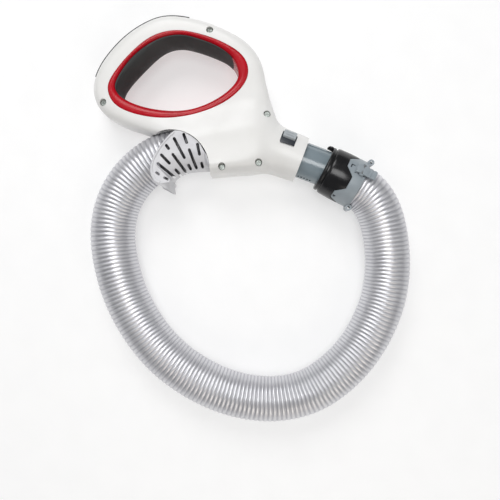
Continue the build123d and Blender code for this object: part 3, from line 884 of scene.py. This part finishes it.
# %% [markdown]
# ## Connector: collar, cuff and latch tabs
# A near black collar locks the hose's cuff to the spigot. Four tongues with sloped sides
# reach back over the cuff. Both are made as shaped rings: rows round the axis whose
# distance follows the tongues. The same function places the edge on both, so they match.

# %% Tongues and shaped rings
TONGUES = (-14, 76, 166, 256)


def tongue_edge(turn):
    """Distance of the collar's rear edge at an angle round the cuff."""
    gap = min(abs((turn - centre + 180) % 360 - 180) for centre in TONGUES)
    return 18 + 8.5 * min(1, max(0, (33 - gap) / 18))


def shaped_ring(name, axis, rows, columns=288):
    """Ring of rows round an axis; a row is (distance, radius), or a distance past the edge."""
    def place(row, column):
        turn = 360 * column / columns
        distance, radius, follows = rows[row]
        return ring_point(axis, distance + (tongue_edge(turn) if follows else 0), radius, turn)
    return quick_grid(name, len(rows), columns, place)


# %% Collar ring
collar = shaped_ring("lock_collar", CUFF, [
    (0.2, 18.4, 0), (0, 18.8, 0), (0, 21.2, 0), (0.2, 21.8, 0), (0.8, 22.35, 0), (1.4, 22.45, 0),
    (2.6, 22.45, 0), (3.0, 22.2, 0), (3.15, 21.6, 0), (4.3, 21.6, 0), (4.4, 22.3, 0),
    (4.8, 22.95, 0), (5.6, 23.4, 0), (7.0, 23.65, 0), (12, 23.95, 0), (16.8, 24.2, 0),
    (-0.8, 24.3, 1), (-0.3, 24.2, 1), (0, 23.9, 1), (0, 23.42, 1), (-0.8, 23.42, 1),
    (16.5, 23.42, 0), (16.0, 21.0, 0), (2.7, 21.0, 0), (2.5, 18.4, 0)])


def arc_block(name, axis, outline, middle, half, steps=12):
    """Block bent round an axis: a closed (distance, radius) outline over a span of angles."""
    sections = []
    for step in range(steps + 1):
        turn = middle - half + 2 * half * step / steps
        sections.append([ring_point(axis, distance, radius, turn) for distance, radius in outline])
    return lofted(name, sections)


# %% Lock lug
LUG = [(-5.6, 18.3), (0.4, 18.3), (0.4, 22.2), (-1.5, 22.6), (-4.2, 22.0), (-5.6, 20.6)]
lug = edge_bevel(arc_block("lock_lug", CUFF, LUG, 80, 14), 0.6, 3)
cut(collar, lug, "UNION")
dress(smooth(collar, 35), collar_black, "handle", "collar_black", "locking_collar")

# %% Cuff and its slits
cuff = shaped_ring("hose_cuff", CUFF, [
    (0.15, 23.3, 1), (0.2, 23.85, 1), (0.6, 24.15, 1), (1.2, 24.2, 1), (37.0, 24.2, 0),
    (37.7, 24.0, 0), (38, 23.5, 0), (38, 22.7, 0), (20.4, 22.7, 0), (20.4, 19.3, 0),
    (11.2, 19.3, 0), (11.2, 20.7, 0), (18.1, 20.7, 0), (18.1, 23.3, 0)])


SLIT_FLOOR = 23.5


def slit(first, last, middle, half, floor_r=SLIT_FLOOR):
    """Shallow recess in the cuff, over a span of distance and of angle."""
    outline = [(first, floor_r), (first, 26), (last, 26), (last, floor_r)]
    cut(cuff, arc_block("slit", CUFF, outline, middle, half, 4))


slit(21.0, 22.2, 25.5, 5.0)
slit(21.0, 25.0, 29.3, 1.4)
slit(18.9, 21.6, -61, 3.2)
slit(19.6, 20.9, -65.5, 1.6)
slit(27.5, 39, 38.4, 0.9)
for number in range(4):
    slit(26.5 + 3.0 * number, 28.6 + 3.0 * number, 13.2, 1.0)
for centre in TAB_TURNS:
    slit(35.4, 39, centre, 11.6, 23.0)
print("cuff faces after the slits", len(cuff.data.polygons))

# %% Eyelets and ears on the cuff
EYE_PLACE, EYE_REACH = 38.5, 24.4
for side in (-1, 1):
    eye = run(CUFF_START, CUFF_ANGLE, EYE_PLACE) + compass(CUFF_ANGLE + 90) * (side * EYE_REACH)
    eyelet = post("eyelet", eye.x, eye.y, MID - 5, MID + 8, 3.0)
    cut(eyelet, turned("eyelet_tool", CUFF, [(30, 0.05), (30, 22.8), (50, 22.8), (50, 0.05)]))
    cut(eyelet, post("eyelet_hole", eye.x, eye.y, MID - 6, MID + 9, 1.25))
    cut(cuff, edge_bevel(eyelet, 0.5, 3), "UNION")
for centre in TAB_TURNS:
    for side in (-1, 1):
        ear = arc_block("ear", CUFF, [(31, 23.6), (31, 26.4), (32, 27.2), (34, 27.2), (35, 26.4),
                                      (35, 23.6)], centre + side * 13.6, 1.6, 2)
        cut(cuff, edge_bevel(ear, 0.25, 2), "UNION")
dress(smooth(cuff, 35), cuff_grey, "handle", "cuff_grey", "connector_cuff")

# %% [markdown]
# The slits are only shallow, so their floors get painted shade: a dark finish as a second
# material. A face belongs to a slit's floor when it lies just under the cuff's skin.

# %% Painted shade on the slit floors
# Painted shade: the dark finish on the slit floors stands in for the depth that the shallow slits
# lack.
cuff.data.materials.append(frame_dark)
for face in cuff.data.polygons:
    arm = face.center / MM - CUFF_START
    along_axis = arm.dot(compass(CUFF_ANGLE))
    depth = (arm - compass(CUFF_ANGLE) * along_axis).length
    if SLIT_FLOOR - 0.14 < depth < SLIT_FLOOR + 0.06 and along_axis > 18.4:
        face.material_index = 1
print("dark slit faces", sum(face.material_index for face in cuff.data.polygons))

# %% [markdown]
# ## Latch tabs
# Two sprung tabs lie in the cuff's windows and rock on short pins. Each is a block that is
# bent round the cuff's axis, with finger ribs near its free end, and a bore for its pin.

# %% Latch tabs
PIN_PLACE, PIN_HEIGHT, PIN_BORE = 33, 25.5, 0.88
TABS = (("latch_tab_near", "near_tab", "cuff_tab_near", TAB_TURNS[0], 47),
        ("latch_tab_far", "far_tab", "cuff_tab_far", TAB_TURNS[1], 46))
for name, body, node, centre, end in TABS:
    tab = arc_block(name, CUFF, [
        (27, 24.65), (27, 25.3), (27.8, 26.1), (29.5, 26.4), (end - 8.5, 26.4), (end - 8, 25.9),
        (end - 6.6, 25.9), (end - 6.1, 26.4), (end - 5.4, 26.4), (end - 4.9, 25.9),
        (end - 3.5, 25.9), (end - 3, 26.4), (end - 1.2, 26.4), (end, 25.6), (end, 24.65)],
        centre, 11, 16)
    place = ring_point(CUFF, PIN_PLACE, PIN_HEIGHT, centre)
    arm = (place - run(CUFF_START, CUFF_ANGLE, PIN_PLACE)).normalized()
    along = arm.cross(compass(CUFF_ANGLE))
    bpy.ops.mesh.primitive_cylinder_add(vertices=32, radius=PIN_BORE * MM, depth=24 * MM)
    bore = bpy.context.object
    bore.rotation_euler = along.to_track_quat("Z", "Y").to_euler()
    bore.location = place * MM
    bpy.ops.object.transform_apply(location=True, rotation=True, scale=True)
    cut(tab, bore)
    dress(smooth(edge_bevel(tab, 0.2, 2), 35), cuff_grey, body, "cuff_grey", node)

# %% [markdown]
# ## Slotted guard
# The guard is a white clip-on cover that turns the hose gently out of the body. Two slotted
# side plates stand on either side of the hose and meet in a round wall on the inner side of
# the bend. A raised lip runs round the rim, and a hooked flange closes the rim's lower end.

# %% Guard cover and its slots
GUARD_HALF, GUARD_WALL = 24.8, 1.9
GUARD_ROUND = 20
SLOT_HALF = 1.4
RIM = [(-56.1, 3.4), (-60.8, -0.3), (-66.5, -6.6), (-71.7, -13.9), (-75.9, -21.2), (-78.4, -28.5),
       (-79, -33.7), (-78, -39), (-74.9, -44.7), (-70.5, -46.5)]
BEND = [(-61.5, -45), (-60.4, -42.6), (-59, -40.5), (-56.2, -37.7), (-51.9, -35), (-47.5, -33.1),
        (-42.1, -32.0), (-35.5, -31.3), (-27.8, -30.9), (-23.6, -30.6)]
ARCH = [tuple(ARCH_MIDDLE + compass(turn).xy * (ARCH_R - ARCH_GAP)) for turn in range(6, 81, 5)]
SLOTS = [
    (101, 36.5, 42), (101, 47, 59), (110, 37.5, 56), (110, 60.5, 71.5), (118, 39, 44.5),
    (118, 49, 71.5), (126, 40.5, 59.5), (126, 63.5, 70), (134, 42, 48), (134, 53, 66),
    (141.5, 43.5, 63), (149, 44.5, 50), (149, 54, 59),
]


def round_along(piece, line, radius):
    """Round the top and bottom edges that lie along a line of points."""
    only(piece)
    bpy.ops.object.mode_set(mode="EDIT")
    bpy.ops.mesh.select_mode(type="EDGE")
    bpy.ops.mesh.select_all(action="DESELECT")
    bpy.ops.object.mode_set(mode="OBJECT")
    for edge in piece.data.edges:
        first, last = (piece.data.vertices[k].co / MM for k in edge.vertices)
        near = all(min((Vector(point) - end.xy).length for point in line) < 0.3
                   for end in (first, last))
        edge.select = near and abs(first.z - last.z) < 0.01
    bpy.ops.object.mode_set(mode="EDIT")
    bpy.ops.mesh.bevel(offset=radius * MM, segments=10, clamp_overlap=False)
    bpy.ops.object.mode_set(mode="OBJECT")
    return piece


guard = block("guard_cover", RIM + BEND + ARCH, MID - GUARD_HALF, MID + GUARD_HALF)
round_along(guard, BEND[1:], GUARD_ROUND)
within = [(x - 1.0, y + 1.7) for x, y in BEND[1:]]
space_line = [(-64, -51)] + within + [(-10, -29)]
space = block("guard_space", [(-110, -60)] + space_line + [(-10, 30), (-110, 30)],
              MID - GUARD_HALF + GUARD_WALL, MID + GUARD_HALF - GUARD_WALL)
round_along(space, space_line, GUARD_ROUND - 1.5)
cut(guard, space)
for angle, near, far in SLOTS:
    middle = FAN + compass(angle).xy * ((near + far) / 2)
    outline = []
    for k in range(24):
        turn = math.tau * (k + 0.5) / 24
        x, y = math.cos(turn), math.sin(turn)
        lengthwise = math.copysign((far - near) / 2 - SLOT_HALF, x) + SLOT_HALF * x
        crosswise = SLOT_HALF * y
        outline.append(middle + compass(angle).xy * lengthwise + compass(angle + 90).xy * crosswise)
    cut(guard, block("slot_tool", outline, TOOL_LOW, TOOL_HIGH))
print("guard faces", len(guard.data.polygons))

# %% Guard lip and hook
rim_centre = Vector((-56, -22))
for face in (MID - GUARD_HALF, MID + GUARD_HALF):
    lip_line = RIM + [Vector(point).lerp(rim_centre, 0.10) for point in reversed(RIM)]
    cut(guard, edge_bevel(block("guard_lip", lip_line, face - 1, face + 1), 0.6, 3), "UNION")
hook = []
for step in range(25):
    turn = math.pi * step / 24
    depth = math.sin(turn)
    root = Vector((-71.5, -44.5)).lerp(Vector((-60.6, -43.4)), depth ** 0.7)
    tip = Vector((-74.4, -45.4)).lerp(Vector((-59.2, -53.6)), depth ** 0.6)
    height = MID + (GUARD_HALF - 1.0) * math.cos(turn)
    hook.append([Vector((*(corner + shift), height)) for corner, shift in (
        (root, Vector((0.9, 0.1))), (tip, Vector((0.5, 0.1))), (tip, Vector((-0.6, 0))),
        (root, Vector((-0.8, -0.1))))])
cut(guard, lofted("guard_hook", hook), "UNION")
dress(smooth(edge_bevel(guard, 0.25, 2, 50), 32), guard_white, "handle", "guard_plastic",
      "hose_guard")

# %% [markdown]
# ## Pieces kept from the engineering model
# The hidden and simple pieces already have their true shape. They only need their finish.

# %% Finishes on kept pieces
KEPT = {
    "case_screws": screw_steel, "air_duct": duct_plastic,
    "hose_seal": seal_rubber, "hose_swivel_ring": duct_plastic, "socket_sleeve": duct_plastic,
    "socket_bush": duct_plastic, "socket_seal": seal_rubber, "latch_ring": duct_plastic,
    "spigot_tube": spigot_grey, "cuff_tab_pins": pin_steel, "cuff_pins": pin_steel,
    "hose_ferrule": duct_plastic,
}
for node, material in KEPT.items():
    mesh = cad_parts[node].data
    mesh.materials.clear()
    mesh.materials.append(material)
